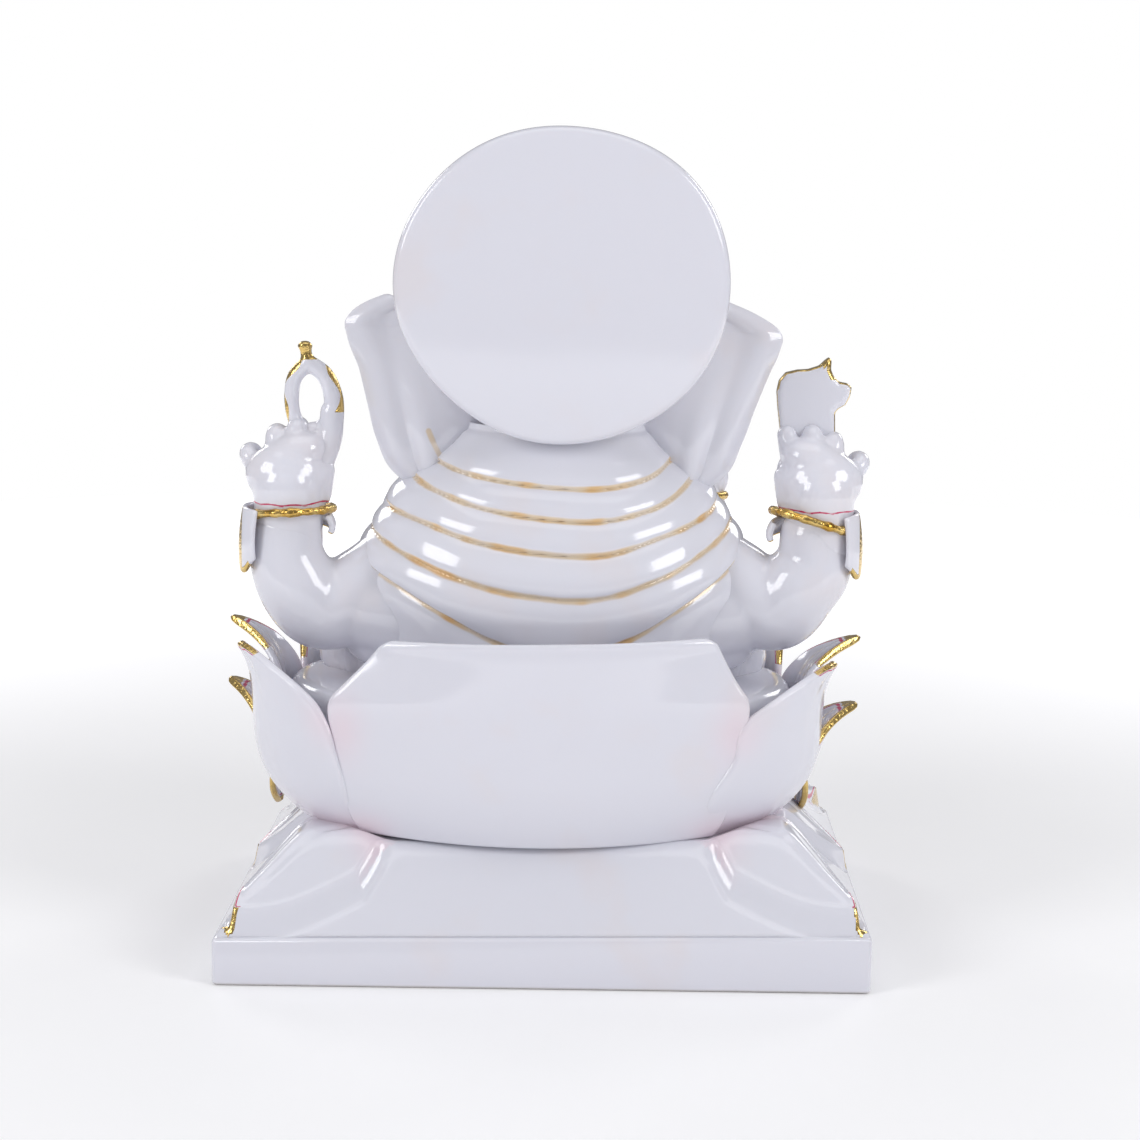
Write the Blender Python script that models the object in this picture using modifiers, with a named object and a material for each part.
"""Seated Ganesha on a lotus, a white cast-marble idol with gilt lines, nine inches tall.

The idol is built the way such castings are put together: a slab, a mound of draped petals, a lotus
of separate petals, a torso with flat glue faces for head, arms and hands, and small cast
attributes. Lengths are written in millimetres and turned to metres by MM. The figure faces -Y, its
own left is +X, and Z is up from the underside of the slab. Run it with
    blender --background --python part.py
"""

import math

import bmesh
import bpy
from mathutils import Matrix, Vector

MM = 0.001

# ---- Driving dimensions, in millimetres ------------------------------------------------------
GLUE = 0.3                      # thickness of every glue line between two castings

SLAB = (174.0, 124.0, 14.0)     # width, depth, height of the slab
MOUND_FOOT = (171.0, 121.0)     # the mound where it stands on the slab
MOUND_TOP = (133.0, 86.0)       # and where it carries the lotus
MOUND_HEIGHT = 21.0

SEAT_TOP = 62.0                 # height of the disc that the figure sits on
DEPTH_SHARE = 0.68              # depth of the lotus as a share of its width
OUTER_SHIFT = 3.0               # the outer petals stand this much clear of the inner ones in depth
PLAN_POWER = 2.6                # 2 makes the plan of the lotus an ellipse, and more squares it up
LOTUS_SHIFT = 2.5               # the lotus sits a little to the figure's left
BACK_PANEL_TOP = 88.0
BACK_PANEL_BULGE = 12.0
PETAL_WALL = 3.0

HEAD_SHIFT = -2.5               # the head and halo sit a little to the figure's right
NECK_TOP = 141.0
HALO_RADIUS = 45.0
HALO_HEIGHT_SHARE = 0.94
HALO_CENTRE_Z = 184.3
HALO_FRONT_Y = 24.0
HALO_THICKNESS = 6.0
HALO_DOME = 3.0

SHAWL_FRONT_Y = 4.0             # glue face between the torso and the shawl behind it
WRIST_Z = 119.5                 # glue face between a rear forearm and its hand
REAR_ARM_X = 73.0
REAR_ARM_Y = 11.0

# Height above the table and half width of the bowl that the petals follow, for the tall inner
# petals and for the short outer ones.
INNER_BOWL = ((38.4, 57), (42, 63.5), (47, 69.2), (54, 73.4), (63, 75), (72, 75.5), (79, 77.5), (84, 81.5), (88, 88))
OUTER_BOWL = ((41.6, 68.5), (45, 72.6), (49, 75.7), (55, 78.2), (61, 79.8), (66, 82.5), (70, 88))
DROOP_BOWL = ((37.4, 64.5), (38.9, 69), (39.1, 74), (38.0, 77.5), (35.8, 79.5))

# Where each petal of a ring points, in degrees from the figure's left towards its back, with the
# height of its tip and its half width at the widest place.
INNER_PETALS = {
    "inner_petal_front": (-90, 77, 16),
    "inner_petal_front_left": (-65, 80, 15.5),
    "inner_petal_front_right": (-115, 80, 15.5),
    "inner_petal_side_front_left": (-37, 84, 16),
    "inner_petal_side_front_right": (-143, 84, 16),
    "inner_petal_side_left": (-5, 88, 16),
    "inner_petal_side_right": (185, 84, 16),
    "inner_petal_back_left": (32, 86, 20),
    "inner_petal_back_right": (148, 83, 20),
}
OUTER_PETALS = {
    "outer_petal_front_left": (-77, 62, 16),
    "outer_petal_front_right": (-103, 62, 16),
    "outer_petal_corner_left": (-51, 66, 16),
    "outer_petal_corner_right": (-129, 66, 16),
    "outer_petal_side_left": (-22, 68, 16),
    "outer_petal_side_right": (202, 66, 16),
    "outer_petal_back_left": (14, 70, 16),
    "outer_petal_back_right": (166, 66, 16),
}
DROOP_PETALS = {
    "droop_petal_front_left": (-64, 36, 13),
    "droop_petal_front_right": (-116, 36, 13),
    "droop_petal_side_left": (-8, 36, 13),
    "droop_petal_side_right": (188, 36, 13),
}
# Where each petal carved on the mound has its root and its tip: x, y, z.
DRAPED_PETALS = (
    ((48, 34, 33), (79, 54, 17)),
    ((58, 2, 33), (82, 4, 19)),
    ((48, -34, 33), (79, -54, 17)),
    ((22, -38, 33), (42, -57, 17)),
    ((0, -40, 33), (0, -58, 17)),
)


# ---- Materials -------------------------------------------------------------------------------
def material(name, colour, roughness, metallic=0.0):
    made = bpy.data.materials.new(name)
    made.use_nodes = True
    shader = made.node_tree.nodes["Principled BSDF"]
    shader.inputs["Base Color"].default_value = (*colour, 1.0)
    shader.inputs["Roughness"].default_value = roughness
    shader.inputs["Metallic"].default_value = metallic
    return made


# ---- Building blocks -------------------------------------------------------------------------
def collection(name):
    made = bpy.data.collections.new(name)
    bpy.context.scene.collection.children.link(made)
    return made


def add_object(name, mesh, finish):
    """A named part in the idol's collection."""
    made = bpy.data.objects.new(name, mesh)
    mesh.name = name
    mesh.materials.clear()
    mesh.materials.append(finish)
    IDOL.objects.link(made)
    return made


def mesh_from(build):
    """A new mesh from the bmesh that build fills in millimetres."""
    shape = bmesh.new()
    build(shape)
    bmesh.ops.scale(shape, vec=(MM, MM, MM), verts=shape.verts)
    mesh = bpy.data.meshes.new("shape")
    shape.to_mesh(mesh)
    shape.free()
    return mesh


def evaluated_mesh(source):
    """The mesh of an object with its modifiers applied, and its place in it; the object goes."""
    bpy.context.view_layer.update()
    graph = bpy.context.evaluated_depsgraph_get()
    mesh = bpy.data.meshes.new_from_object(source.evaluated_get(graph))
    mesh.transform(source.matrix_world)
    bpy.data.objects.remove(source)
    return mesh


def ball(centre, radii, turn=(0.0, 0.0, 0.0), segments=20, rings=12):
    """An ellipsoid as (kind, settings), turned about X, Y and Z by degrees."""
    return ("ball", centre, radii, turn, segments, rings)


def limb(points, radii):
    """A round tapering limb through the points, with a ball at each end."""
    return ("limb", points, radii)


def add_ball(shape, centre, radii, turn, segments, rings):
    made = bmesh.ops.create_uvsphere(shape, u_segments=segments, v_segments=rings, radius=1.0)
    rotation = Matrix.Identity(4)
    for angle, axis in zip(turn, "XYZ"):
        rotation = Matrix.Rotation(math.radians(angle), 4, axis) @ rotation
    place = Matrix.Translation(centre) @ rotation @ Matrix.Diagonal((*radii, 1.0))
    bmesh.ops.transform(shape, matrix=place, verts=made["verts"])


def smooth_path(points, radii, steps=6):
    """Points and radii along a Catmull-Rom curve through the given ones."""
    ends = [points[0], *points, points[-1]]
    sizes = [radii[0], *radii, radii[-1]]
    path, along = [], []
    for i in range(1, len(ends) - 2):
        quad = [Vector(p) for p in ends[i - 1:i + 3]]
        for step in range(steps):
            t = step / steps
            weights = (
                -0.5 * t + t * t - 0.5 * t**3,
                1 - 2.5 * t * t + 1.5 * t**3,
                0.5 * t + 2 * t * t - 1.5 * t**3,
                -0.5 * t * t + 0.5 * t**3,
            )
            path.append(sum((q * w for q, w in zip(quad, weights)), Vector()))
            along.append(sizes[i] * (1 - t) + sizes[i + 1] * t)
    path.append(Vector(points[-1]))
    along.append(radii[-1])
    return path, along


def add_limb(shape, points, radii):
    """Balls close together along the path: the remesh melts them into one limb."""
    path, along = smooth_path(points, radii)
    for point, radius in zip(path, along):
        add_ball(shape, point, (radius, radius, radius), (0, 0, 0), 14, 8)


def fused(name, blobs, finish, voxel=2.0, smoothing=4, triangles=400):
    """One closed casting melted from balls and limbs: voxel remesh, smooth, then decimate."""
    def build(shape):
        for kind, *settings in blobs:
            (add_ball if kind == "ball" else add_limb)(shape, *settings)

    rough = bpy.data.objects.new("rough", mesh_from(build))
    bpy.context.scene.collection.objects.link(rough)
    remesh = rough.modifiers.new("Melt", "REMESH")
    remesh.mode = "VOXEL"
    remesh.voxel_size = voxel * MM
    soften = rough.modifiers.new("Soften", "SMOOTH")
    soften.factor = 0.5
    soften.iterations = smoothing
    mesh = evaluated_mesh(rough)
    coarse = bpy.data.objects.new("coarse", mesh)
    bpy.context.scene.collection.objects.link(coarse)
    thin = coarse.modifiers.new("Thin out", "DECIMATE")
    mesh.calc_loop_triangles()
    thin.ratio = min(1.0, triangles / len(mesh.loop_triangles))
    made = add_object(name, evaluated_mesh(coarse), finish)
    made.data.shade_smooth()
    return made


def trim(part, point, normal):
    """Cuts away what lies beyond the plane and closes the cut with a flat glue face."""
    shape = bmesh.new()
    shape.from_mesh(part.data)
    geometry = [*shape.verts, *shape.edges, *shape.faces]
    cut = bmesh.ops.bisect_plane(
        shape, geom=geometry, plane_co=Vector(point) * MM, plane_no=normal, clear_outer=True, dist=1e-6
    )
    rim = [e for e in cut["geom_cut"] if isinstance(e, bmesh.types.BMEdge)]
    bmesh.ops.holes_fill(shape, edges=rim, sides=0)
    bmesh.ops.triangulate(shape, faces=shape.faces)
    bmesh.ops.recalc_face_normals(shape, faces=shape.faces)
    shape.to_mesh(part.data)
    shape.free()
    return part


def clear_of(part, *neighbours, gap=GLUE):
    """Cuts the part back so that it meets each neighbour with a glue line between them."""
    for neighbour in neighbours:
        grown = neighbour.data.copy()
        shape = bmesh.new()
        shape.from_mesh(grown)
        shape.normal_update()
        reach = [min(v.calc_shell_factor(), 1.6) * gap * MM for v in shape.verts]
        shifts = [(v, v.co + v.normal * r) for v, r in zip(shape.verts, reach)]
        for vertex, place in shifts:
            vertex.co = place
        shape.to_mesh(grown)
        shape.free()
        cutter = bpy.data.objects.new(f"cut_{part.name}_by_{neighbour.name}", grown)
        cutter.hide_render = True
        cutter.display_type = "WIRE"
        CUTTERS.objects.link(cutter)
        boolean(part, cutter, "DIFFERENCE")
    return part


def boolean(part, other, operation):
    """Applies one exact Boolean to the part and keeps its largest body."""
    step = part.modifiers.new(operation.title(), "BOOLEAN")
    step.object = other
    step.operation = operation
    step.solver = "EXACT"
    bpy.context.view_layer.update()
    graph = bpy.context.evaluated_depsgraph_get()
    mesh = bpy.data.meshes.new_from_object(part.evaluated_get(graph))
    part.modifiers.clear()
    old = part.data
    part.data = mesh
    mesh.name = old.name
    bpy.data.meshes.remove(old)
    keep_largest_body(part)


def keep_largest_body(part):
    """Removes the loose crumbs that a cut can leave."""
    shape = bmesh.new()
    shape.from_mesh(part.data)
    bmesh.ops.remove_doubles(shape, verts=shape.verts, dist=2e-6)
    bodies, seen = [], set()
    for start in shape.verts:
        if start in seen:
            continue
        body, front = {start}, [start]
        while front:
            for edge in front.pop().link_edges:
                for vertex in edge.verts:
                    if vertex not in body:
                        body.add(vertex)
                        front.append(vertex)
        seen |= body
        bodies.append(body)
    largest = max(bodies, key=len)
    crumbs = [v for v in shape.verts if v not in largest]
    bmesh.ops.delete(shape, geom=crumbs, context="VERTS")
    shape.to_mesh(part.data)
    shape.free()


def shell(name, finish, point, columns, rows, wall):
    """A wall of even thickness on the sheet point(u, v), with u from -1 to 1 and v from 0 to 1."""
    def build(shape):
        grid = [
            [shape.verts.new(point(-1 + 2 * i / columns, j / rows)) for i in range(columns + 1)]
            for j in range(rows + 1)
        ]
        for j in range(rows):
            for i in range(columns):
                shape.faces.new((grid[j][i], grid[j][i + 1], grid[j + 1][i + 1], grid[j + 1][i]))

    made = add_object(name, mesh_from(build), finish)
    thicken = made.modifiers.new("Wall", "SOLIDIFY")
    thicken.thickness = wall * MM
    thicken.offset = 1.0
    thicken.use_even_offset = True
    made.data.shade_smooth()
    return made


def turned(name, finish, profile, steps, centre, axis="Z", squeeze=(1.0, 1.0, 1.0)):
    """A turned shape: the profile, as (radius, height) from top to bottom, spun about its axis."""
    def build(shape):
        points = [shape.verts.new((radius, 0, height)) for radius, height in profile]
        for first, second in zip(points, points[1:]):
            shape.edges.new((first, second))

    rough = bpy.data.objects.new("rough", mesh_from(build))
    bpy.context.scene.collection.objects.link(rough)
    spin = rough.modifiers.new("Turn", "SCREW")
    spin.steps = spin.render_steps = steps
    spin.use_merge_vertices = True
    spin.merge_threshold = 1e-5
    mesh = evaluated_mesh(rough)
    place = Matrix.Translation(Vector(centre) * MM) @ Matrix.Diagonal((*squeeze, 1.0))
    if axis == "Y":
        place = place @ Matrix.Rotation(math.radians(-90), 4, "X")
    mesh.transform(place)
    made = add_object(name, mesh, finish)
    made.data.shade_smooth()
    return made


def plate(name, finish, outline, y, thickness, bevel):
    """A flat casting in the XZ plane, from a 2D outline of (x, z) points, with rounded edges."""
    curve = bpy.data.curves.new(name, "CURVE")
    curve.dimensions = "2D"
    curve.fill_mode = "BOTH"
    curve.extrude = (thickness / 2 - bevel) * MM
    curve.bevel_depth = bevel * MM
    curve.bevel_resolution = 0
    curve.offset = -bevel * MM
    line = curve.splines.new("POLY")
    line.points.add(len(outline) - 1)
    for target, (x, z) in zip(line.points, outline):
        target.co = (x * MM, z * MM, 0, 1)
    line.use_cyclic_u = True
    rough = bpy.data.objects.new("rough", curve)
    rough.matrix_world = Matrix.Translation((0, y * MM, 0)) @ Matrix.Rotation(math.radians(90), 4, "X")
    bpy.context.scene.collection.objects.link(rough)
    mesh = evaluated_mesh(rough)
    shape = bmesh.new()
    shape.from_mesh(mesh)
    bmesh.ops.remove_doubles(shape, verts=shape.verts, dist=1e-6)
    bmesh.ops.recalc_face_normals(shape, faces=shape.faces)
    shape.to_mesh(mesh)
    shape.free()
    return add_object(name, mesh, finish)


def between(table, height):
    """The value that a table of (height, value) rows gives at a height, on straight lines."""
    for (low, first), (high, second) in zip(table, table[1:]):
        if height <= high:
            return first + (second - first) * (height - low) / (high - low)
    return table[-1][1]


# ---- The base --------------------------------------------------------------------------------
def base_slab():
    mesh = mesh_from(lambda shape: bmesh.ops.create_cube(shape, size=1.0))
    mesh.transform(Matrix.Translation((0, 0, SLAB[2] / 2 * MM)) @ Matrix.Diagonal((*SLAB, 1.0)))
    slab = add_object("base_slab", mesh, MARBLE)
    edge = slab.modifiers.new("Eased edges", "BEVEL")
    edge.width = 1.6 * MM
    edge.segments = 2
    return slab


def base_mound():
    """A low hipped mound with a broad petal carved over each corner, side and front."""
    foot, top = SLAB[2] + GLUE, SLAB[2] + MOUND_HEIGHT

    def build(shape):
        bmesh.ops.create_cube(shape, size=1.0)
        for vertex in shape.verts:
            size = MOUND_TOP if vertex.co.z > 0 else MOUND_FOOT
            height = top if vertex.co.z > 0 else foot
            vertex.co = (vertex.co.x * size[0], vertex.co.y * size[1], height)

    mound = add_object("base_mound", mesh_from(build), MARBLE)
    ridges = mound.modifiers.new("Soft ridges", "BEVEL")
    ridges.width = 3.0 * MM
    ridges.segments = 2
    mound.data = evaluated_mesh_of_part(mound)
    for root, tip in DRAPED_PETALS:
        for side in (1, -1) if root[0] else (1,):
            petal = draped_petal(root, tip, side)
            boolean(mound, petal, "UNION")
            bpy.data.objects.remove(petal)
    trim(mound, (0, 0, foot), (0, 0, -1))
    trim(mound, (0, 0, top), (0, 0, 1))
    return mound


def evaluated_mesh_of_part(part):
    bpy.context.view_layer.update()
    graph = bpy.context.evaluated_depsgraph_get()
    mesh = bpy.data.meshes.new_from_object(part.evaluated_get(graph))
    part.modifiers.clear()
    return mesh


def draped_petal(root, tip, side):
    """A flattened leaf lying on the slope: a ball pulled to a point at the rim of the slab."""
    start = Vector((root[0] * side, root[1], root[2])) + Vector((LOTUS_SHIFT * 0.4, 0, 0))
    end = Vector((tip[0] * side, tip[1], tip[2]))
    along = end - start
    across = along.cross(Vector((0, 0, 1))).normalized()
    upward = across.cross(along).normalized()

    def build(shape):
        bmesh.ops.create_uvsphere(shape, u_segments=12, v_segments=8, radius=1.0)
        for vertex in shape.verts:
            u, v, w = vertex.co
            share = (w + 1) / 2
            width = 17.0 * (1 - 0.62 * max(0.0, share - 0.45) / 0.55)
            place = start + along * share + across * u * width + upward * v * 4.2
            vertex.co = place + Vector((0, 0, -1.5 * u * u))

    leaf = bpy.data.objects.new("leaf", mesh_from(build))
    leaf.data.flip_normals() if along.dot(across.cross(upward)) < 0 else None
    bpy.context.scene.collection.objects.link(leaf)
    return leaf


# ---- The lotus -------------------------------------------------------------------------------
def plan(angle):
    """The point at an angle on the lotus's squared-up circle of radius 1."""
    across, along = math.cos(angle), math.sin(angle)
    radius = (abs(across) ** PLAN_POWER + abs(along) ** PLAN_POWER) ** (-1 / PLAN_POWER)
    return radius * across, radius * along


def bowl_point(bowl, height, angle, shift):
    """A point on an oval bowl: the angle is the ellipse's own, from the figure's left."""
    wide = between(bowl, height)
    deep = wide * DEPTH_SHARE + shift
    x, y = plan(angle)
    return Vector((LOTUS_SHIFT + wide * x, deep * y, height))


def leaf_width(v):
    """Share of a petal's half width at v of its length: broad low down, pointed at the tip."""
    return max(0.07, (0.55 + 0.9 * v) * (1 - v**3.2) ** 0.8 if v < 0.5 else (1 - v**3.2) ** 0.8)


def petal(name, bowl, degrees, tip_height, half_width, shift=0.0):
    """An upright petal on the bowl, stretched or squeezed so that its tip is at its own height."""
    centre = math.radians(degrees)
    foot, top = bowl[0][0], bowl[-1][0]

    def point(u, v):
        height = foot + (top - foot) * v
        wide = between(bowl, height)
        per_radian = wide * math.hypot(math.sin(centre), DEPTH_SHARE * math.cos(centre))
        spot = bowl_point(bowl, height, centre + half_width * leaf_width(v) * u / per_radian, shift)
        spot.z = foot + (tip_height - foot) * v
        return spot

    return shell(name, MARBLE, point, columns=4, rows=7, wall=PETAL_WALL)


def droop_petal(name, degrees, half_width):
    """A petal of the lowest ring: it leans out over the mound and hooks down at its tip."""
    centre = math.radians(degrees)
    steps = len(DROOP_BOWL) - 1

    def point(u, v):
        i = min(int(v * steps), steps - 1)
        share = v * steps - i
        (low, near), (high, far) = DROOP_BOWL[i], DROOP_BOWL[i + 1]
        wide = near + (far - near) * share
        reach = half_width * leaf_width(v) * u / (wide * 0.8)
        x, y = plan(centre + reach)
        return Vector((
            LOTUS_SHIFT + wide * x,
            (wide * DEPTH_SHARE + OUTER_SHIFT) * y,
            low + (high - low) * share,
        ))

    return shell(name, MARBLE, point, columns=4, rows=5, wall=1.8)


def lotus_seat():
    """The oval boss inside the petals, with the flat disc that the figure sits on."""
    foot = SLAB[2] + MOUND_HEIGHT + GLUE
    profile = [(0, SEAT_TOP), (70, SEAT_TOP), (71.5, SEAT_TOP - 1.5)]
    profile += [(between(INNER_BOWL, z) - 3.0, z) for z in (54, 47, 42)]
    profile += [(52, foot), (0, foot)]
    squeeze = (1.0, DEPTH_SHARE, 1.0)
    return turned("lotus_seat", MARBLE, profile, 32, (LOTUS_SHIFT, 0, 0), squeeze=squeeze)


def lotus_back():
    """The broad back petal, bowed in plan, with its two top corners cut away."""
    outline = ((35.6, 50), (46, 54), (58, 57), (69, 57.5), (74, 54.5), (82, 48), (88, 41))
    foot = outline[0][0]

    def point(u, v):
        height = foot + (BACK_PANEL_TOP - foot) * v
        half = between(outline, height)
        inward = BACK_PANEL_BULGE * u * u + 5.0 * max(0.0, 1 - v * 3) ** 2
        return Vector((LOTUS_SHIFT + half * u, 52.0 - inward, height))

    made = shell("lotus_back", MARBLE, point, columns=8, rows=8, wall=4.0)
    made.data = evaluated_mesh_of_part(made)
    return made


# ---- The figure ------------------------------------------------------------------------------
def torso():
    blobs = [
        ball((0, -8, 92), (42, 36, 31)),
        ball((0, 0, 114), (41, 28, 24)),
        ball((28, 2, 119), (17, 18, 13)),
        ball((-29, 2, 119), (17, 18, 13)),
        ball((-1, 2, 134), (30, 21, 13)),
        limb([(0, 8, 80), (0, 8, 66)], [36, 40]),
    ]
    made = fused("torso", blobs, MARBLE, voxel=2.5, triangles=700)
    trim(made, (0, 0, SEAT_TOP + GLUE), (0, 0, -1))
    trim(made, (0, 0, NECK_TOP), (0, 0, 1))
    return trim(made, (0, SHAWL_FRONT_Y - GLUE / 2, 0), (0, 1, 0))


def shawl():
    """The pleated shawl that wraps the back from the nape to the seat."""
    widths = ((66, 46), (88, 52), (100, 55.5), (106, 56), (113, 52), (122, 47), (130, 41.5), (136, 34), (141, 30))
    depths = ((66, 33), (88, 36), (100, 37.5), (106, 37), (113, 35), (122, 32), (130, 28), (136, 24.5), (141, 23))

    def build(shape):
        bmesh.ops.create_cone(shape, cap_ends=True, segments=24, radius1=1.0, radius2=1.0, depth=1.0)
        top, bottom = NECK_TOP, 66.0
        sides = [e for e in shape.edges if abs(e.verts[0].co.z - e.verts[1].co.z) > 0.5]
        bmesh.ops.subdivide_edges(shape, edges=sides, cuts=7, use_grid_fill=True)
        for vertex in shape.verts:
            height = bottom + (vertex.co.z + 0.5) * (top - bottom)
            vertex.co = (
                vertex.co.x * between(widths, height) - 1.0,
                vertex.co.y * between(depths, height),
                height,
            )

    made = add_object("shawl", mesh_from(build), MARBLE)
    trim(made, (0, SHAWL_FRONT_Y + GLUE / 2, 0), (0, -1, 0))
    made.data.shade_smooth()
    return made


def leg(name, side):
    """A folded leg: thigh out to the knee, shin back across the front, and the foot."""
    lift = 3.0 if side > 0 else 0.0
    middle = 2.0
    blobs = [
        limb(
            [
                (middle + 20 * side, 0, 75), (middle + 43 * side, -8, 76), (middle + 55 * side, -17, 74.5),
                (middle + 41 * side, -31, 73), (middle + 20 * side, -39, 73 + lift),
                (middle + 2 * side, -40, 73 + lift),
            ],
            [11.5, 11.5, 10.5, 10, 8.5, 7.5],
        ),
        ball((middle - 9 * side, -40, 72 + lift), (10, 7, 5)),
    ]
    made = fused(name, blobs, MARBLE, voxel=2.0, triangles=380)
    trim(made, (0, 0, SEAT_TOP + GLUE), (0, 0, -1))
    return made


def rear_arm(name, side, shoulder, elbow):
    """A short thick arm: out from under the shawl to the elbow, then up to the wrist."""
    blobs = [
        limb(
            [
                (40 * side, 17, 104), (53 * side, 17, shoulder), elbow,
                (elbow[0] + 6.5 * side, 12.5, elbow[2] + 6.5), (REAR_ARM_X * side, REAR_ARM_Y, 110),
                (REAR_ARM_X * side, REAR_ARM_Y - 1, WRIST_Z + 4),
            ],
            [12.0, 12.2, 11.7, 10.8, 9.8, 9.0],
        ),
    ]
    made = fused(name, blobs, MARBLE, triangles=320)
    return trim(made, (0, 0, WRIST_Z), (0, 0, 1))


def rear_hand(name, side):
    """A half-closed hand: palm, curled fingers, and the first two fingers raised to hold."""
    x = REAR_ARM_X * side - (0.0 if side > 0 else 1.5)
    out = side * 0.88
    blobs = [
        limb([(x, 10, WRIST_Z - 4), (x, 10, 123), (x + 1 * out, 9, 130)], [8.6, 9.0, 9.5]),
        ball((x + 1 * out, 9, 129), (12.0, 7.5, 8.5)),
        limb([(x + 9 * out, 9, 131), (x + 11.5 * out, 7, 135), (x + 9.5 * out, 2, 136)], [3.6, 3.4, 3.0]),
        limb([(x + 4 * out, 10, 133), (x + 5 * out, 8, 136), (x + 4 * out, 2, 136)], [3.7, 3.4, 3.0]),
        limb([(x - 1 * out, 10, 133), (x - 0 * out, 9, 139), (x - 1 * out, 4, 141)], [3.9, 3.6, 3.0]),
        limb([(x - 6 * out, 9, 130), (x - 7 * out, 5, 135), (x - 5 * out, 1, 138)], [4.0, 3.5, 3.0]),
    ]
    made = fused(name, blobs, MARBLE, voxel=1.3, smoothing=3, triangles=380)
    return trim(made, (0, 0, WRIST_Z + GLUE), (0, 0, -1))


def bracelet(name, arm, centre, radii, axis, drop=0.0):
    """A gilt ring round a wrist, cut to fit it; with a drop it widens to a cuff in front."""
    turn = Vector((0, 0, 1)).rotation_difference(Vector(axis)).to_matrix()

    def build(shape):
        bmesh.ops.create_cone(shape, cap_ends=True, segments=18, radius1=1.0, radius2=1.0, depth=1.0)
        for vertex in shape.verts:
            front = max(0.0, 0.35 - vertex.co.y / 1.35)
            low = -1.6 - drop * min(1.0, front * 1.6)
            height = 1.8 if vertex.co.z > 0 else low
            vertex.co = (vertex.co.x * radii[0], vertex.co.y * radii[1], height)
        bmesh.ops.rotate(shape, matrix=turn, verts=shape.verts)
        bmesh.ops.translate(shape, vec=centre, verts=shape.verts)

    made = add_object(name, mesh_from(build), GOLD)
    clear_of(made, *arm)
    return made


def noose(hand):
    """The looped cord of the left rear hand, a crescent ring with a knob on top."""
    blobs = [
        limb(
            [(64, 6, 137), (61, 6, 143), (60.6, 6, 151), (63.4, 6, 158), (68, 6, 161)],
            [3.2, 2.9, 2.8, 2.6, 2.5],
        ),
        limb([(68, 6, 161), (71.6, 6, 156.5), (72.2, 6, 150), (71, 6, 144), (68, 6, 139)], [2.5, 2.4, 2.3, 2.3, 2.5]),
        limb([(68, 6, 161), (68.4, 6, 165.2)], [2.0, 2.0]),
        ball((66.2, 6, 142.5), (4.0, 2.8, 3.6)),
    ]
    made = fused("noose", blobs, MARBLE, voxel=1.0, smoothing=3, triangles=300)
    clear_of(made, hand)
    return made


def axe(hand):
    """The battle-axe of the right rear hand: a broad blade, a spike and a hooked back."""
    outline = (
        (-67, 133), (-65, 138), (-63.4, 144), (-62.6, 150), (-61.8, 154), (-63, 159), (-66, 160.5),
        (-69, 160), (-73.5, 161.2), (-76, 164), (-77.6, 163.4), (-77.4, 160), (-79.4, 158), (-82.6, 157),
        (-83, 153), (-81.4, 150.4), (-79, 149.6), (-78, 147), (-78.4, 142), (-76.5, 136), (-73, 132),
    )
    made = plate("axe", MARBLE, outline, y=4.0, thickness=4.5, bevel=1.0)
    clear_of(made, hand)
    return made


def front_arm(name, side, body, cloth, rear):
    if side < 0:
        path = [(-42, -2, 112), (-50, -10, 102), (-50, -22, 98), (-46, -33, 107), (-43, -36, 116)]
    else:
        path = [(42, -2, 110), (52, -10, 99), (50, -24, 92), (38, -36, 93), (31, -41, 95)]
    made = fused(name, [limb(path, [11, 11, 10.5, 9, 7.5])], MARBLE, triangles=300)
    ahead = (Vector(path[-1]) - Vector(path[-2])).normalized()
    trim(made, Vector(path[-1]) - ahead * 1.0, ahead)
    return clear_of(made, body, cloth, rear)


def front_hands(body, arms):
    """The right hand raised in blessing, and the left hand held level under the bowl."""
    fingers = [
        limb([(-43 - 2.1 * (i - 1.5) * 1.9, -38, 127), (-43 - 2.3 * (i - 1.5) * 1.9, -38.5, 136 - abs(i - 1.4))],
             [2.5, 2.1])
        for i in range(4)
    ]
    right = [
        limb([(-43.3, -35, 113), (-43, -37, 121)], [7.2, 7.0]),
        ball((-43, -38, 123.5), (9.3, 4.8, 8.0)),
        limb([(-36, -39, 121), (-33, -41, 126), (-33, -41, 129)], [3.0, 2.6, 2.2]),
        *fingers,
    ]
    blessing = fused("blessing_hand", right, MARBLE, voxel=1.2, smoothing=3, triangles=360)
    trim(blessing, (-43.2, -36, 116.4), (-0.3, 0.28, -0.9))
    left = [
        limb([(34, -40, 95), (28, -43, 95.5), (22, -46, 95)], [7.4, 7.0, 6.0]),
        ball((22, -46, 94.5), (10, 9, 4.6)),
        limb([(16, -44, 95), (12, -45, 97)], [2.6, 2.2]),
        limb([(24, -52, 95), (20, -56, 97)], [2.7, 2.3]),
    ]
    offering = fused("offering_hand", left, MARBLE, voxel=1.2, smoothing=3, triangles=340)
    trim(offering, (0, 0, 97.5), (0, 0, 1))
    clear_of(blessing, *arms)
    clear_of(offering, body, *arms)
    return blessing, offering


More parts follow.
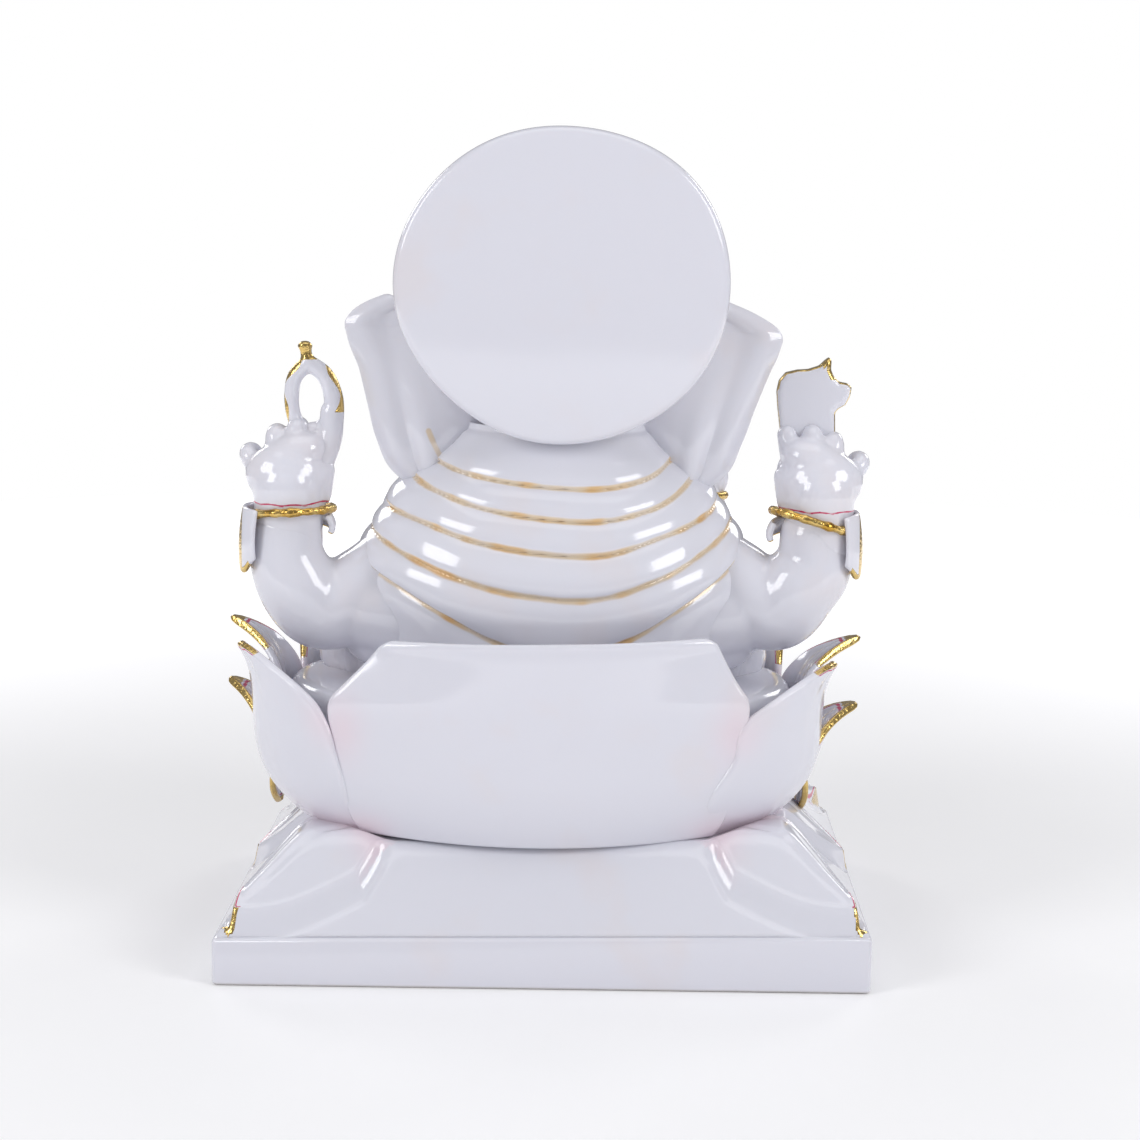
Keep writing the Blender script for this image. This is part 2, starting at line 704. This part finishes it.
def bowl_and_sweets():
    x, y, z = 21.0, -48.0, 97.8
    profile = [(9.2, 7.0), (10.6, 7.0), (10.2, 4.5), (8.0, 1.6), (5.0, 0.0), (0, 0)]
    profile = [(0, 2.2), (5.0, 2.4), (7.6, 4.4), *profile]
    bowl = turned("sweets_bowl", GOLD, profile, 20, (x, y, z))
    heap = [ball((x + 4.2 * math.cos(t), y + 4.2 * math.sin(t), z + 7.4), (3.6, 3.6, 3.8), segments=12, rings=8)
            for t in (math.radians(60 * i) for i in range(6))]
    heap.append(ball((x, y, z + 9.4), (3.9, 3.9, 4.2)))
    sweets = fused("sweets", heap, SAFFRON, voxel=1.0, smoothing=2, triangles=260)
    trim(sweets, (0, 0, z + 3.6), (0, 0, -1))
    clear_of(sweets, bowl)
    return bowl, sweets


# ---- The head --------------------------------------------------------------------------------
def head():
    x = HEAD_SHIFT
    blobs = [
        ball((x, -4, 160), (28, 27, 25)),
        ball((x, -15, 152), (22, 20, 17)),
        ball((x + 13, -18, 147), (10, 12, 9)),
        ball((x - 13, -18, 147), (10, 12, 9)),
        limb([(x, 4, 136), (x, 6, 150)], [26, 25]),
    ]
    made = fused("head", blobs, MARBLE, voxel=2.2, triangles=520)
    trim(made, (0, 0, NECK_TOP + GLUE), (0, 0, -1))
    trim(made, (0, HALO_FRONT_Y - GLUE, 0), (0, 1, 0))
    trim(made, (0, 0, 176), (0, 0, 1))
    return made


def trunk(face, body):
    """The trunk hangs from the brow, swings to the left and curls its tip over the sweets."""
    x = HEAD_SHIFT
    path = [
        (x, -26, 157), (x, -37, 149), (x + 1, -43, 138), (x + 4, -45.5, 127), (x + 11, -47.5, 118),
        (x + 20, -49.5, 115.5), (x + 27, -50, 119),
    ]
    made = fused("trunk", [limb(path, [11, 10.5, 8.8, 7.0, 5.6, 4.6, 3.9])], MARBLE, voxel=1.6, triangles=340)
    return clear_of(made, face, body)


def tusk(name, side, face, nose, length):
    x = HEAD_SHIFT + 11.5 * side
    path = [(x, -28, 145), (x + 1.5 * side, -28 - length * 0.6, 141.5), (x + 1.0 * side, -28 - length, 141.0)]
    made = fused(name, [limb(path, [3.4, 2.7, 1.7])], MARBLE, voxel=0.9, smoothing=2, triangles=110)
    return clear_of(made, face, nose)


def ear(name, side, *neighbours):
    """A broad fan ear, seen from behind as a dished plate wider at the top than at the lobe."""
    inner = ((129, 27), (140, 24), (150, 24), (160, 24), (170, 25), (178, 31))
    if side > 0:
        reach = ((129, 41.5), (140, 47.5), (150, 50), (160, 53.5), (171, 57), (178, 45))
    else:
        reach = ((129, 46), (140, 51.5), (150, 55), (160, 59.5), (168, 62.5), (178, 44))

    def point(u, v):
        height = inner[0][0] + (inner[-1][0] - inner[0][0]) * v
        across = (u + 1) / 2
        near, far = between(inner, height), between(reach, height)
        x = near + (far - near) * across
        dish = 6.0 * math.sin(math.pi * across) * math.sin(math.pi * min(1, v + 0.15))
        return Vector((x * side + HEAD_SHIFT * (1 - across), 4.0 + dish - 5.0 * across * v, height))

    made = shell(name, MARBLE, point, columns=4, rows=6, wall=3.6)
    made.modifiers["Wall"].offset = 0.0
    made.data = evaluated_mesh_of_part(made)
    return clear_of(made, *neighbours)


def crown(disc):
    """A tiered crown that narrows to a knob in front of the halo."""
    profile = [
        (0, 218), (2.2, 217), (3.0, 214.5), (1.6, 212), (4.6, 210.5), (7.6, 207), (7.0, 204), (10.5, 202),
        (13.2, 197), (12.4, 193.5), (16.5, 191), (18.5, 185), (17.8, 181), (23.2, 179), (24.2, 176.3), (0, 176.3),
    ]
    made = turned("crown", GOLD, profile, 20, (HEAD_SHIFT, -2, 0), squeeze=(1.0, 0.96, 1.0))
    return clear_of(made, disc)


def halo_disc():
    """The round halo: a flat front, a rim, and a back that swells a little in the middle."""
    radius, wall = HALO_RADIUS, HALO_THICKNESS
    profile = [(0, wall + HALO_DOME)]
    for share in (0.25, 0.5, 0.7, 0.85, 0.94):
        profile.append((radius * share, wall + HALO_DOME * (1 - share**2)))
    profile += [(radius - 0.8, wall - 0.6), (radius, wall - 2.2), (radius, 1.2), (radius - 1.0, 0), (0, 0)]
    return turned(
        "halo_disc", MARBLE, profile, 40,
        (HEAD_SHIFT, HALO_FRONT_Y, HALO_CENTRE_Z), axis="Y", squeeze=(1.0, 1.0, HALO_HEIGHT_SHARE),
    )


# ---- Assembly --------------------------------------------------------------------------------
def build_base():
    base_slab()
    base_mound()


def build_lotus():
    panel = lotus_back()
    clear_of(lotus_seat(), panel)
    for name, (degrees, tip, half) in INNER_PETALS.items():
        made = petal(name, INNER_BOWL, degrees, tip, half)
        if name.startswith("inner_petal_back"):
            made.data = evaluated_mesh_of_part(made)
            clear_of(made, panel)
    for name, (degrees, tip, half) in OUTER_PETALS.items():
        petal(name, OUTER_BOWL, degrees, tip, half, OUTER_SHIFT)
    for name, (degrees, tip, half) in DROOP_PETALS.items():
        droop_petal(name, degrees, half)


def build_figure():
    body = torso()
    cloth = shawl()
    left_leg = clear_of(leg("leg_left", 1), body, cloth)
    clear_of(leg("leg_right", -1), body, cloth, left_leg)
    rear_left = clear_of(rear_arm("rear_arm_left", 1, 95.0, (65.5, 15, 92)), body, cloth)
    rear_right = clear_of(rear_arm("rear_arm_right", -1, 98.0, (-63.0, 15, 94)), body, cloth)
    hand_left = rear_hand("rear_hand_left", 1)
    hand_right = rear_hand("rear_hand_right", -1)
    wrist = (12.9, 12.6)
    bracelet("rear_cuff_left", (rear_left, hand_left), (73, 10.5, WRIST_Z), wrist, (0.10, -0.14, 1), 14)
    bracelet("rear_cuff_right", (rear_right, hand_right), (-73, 10.5, WRIST_Z), wrist, (-0.14, -0.14, 1), 14)
    noose(hand_left)
    axe(hand_right)
    arm_left = front_arm("front_arm_left", 1, body, cloth, rear_left)
    arm_right = front_arm("front_arm_right", -1, body, cloth, rear_right)
    clear_of(arm_left, left_leg)
    blessing, offering = front_hands(body, (arm_left, arm_right))
    bracelet("front_bracelet_right", (arm_right, blessing), (-43.2, -36, 116), (9.6, 9.2), (0.3, -0.28, 0.9))
    bracelet("front_bracelet_left", (arm_left, offering, body), (35, -38.3, 94.0), (11.0, 10.6), (-7, -3.5, 1.4))
    bowl_and_sweets()
    return body, cloth


def build_head(body, cloth):
    disc = halo_disc()
    face = head()
    nose = trunk(face, body)
    tusk("tusk_left", 1, face, nose, 12)
    tusk("tusk_right", -1, face, nose, 7)
    ear("ear_left", 1, face, cloth, body)
    ear("ear_right", -1, face, cloth, body)
    crown(disc)


for old in list(bpy.data.objects):
    bpy.data.objects.remove(old)
IDOL = collection("Ganesha idol")
CUTTERS = collection("Cutters")
MARBLE = material("cast marble", (0.90, 0.90, 0.93), 0.12)
GOLD = material("gilding", (0.78, 0.58, 0.24), 0.25, 1.0)
SAFFRON = material("sweets yellow", (0.85, 0.62, 0.25), 0.35)

build_base()
build_lotus()
build_head(*build_figure())
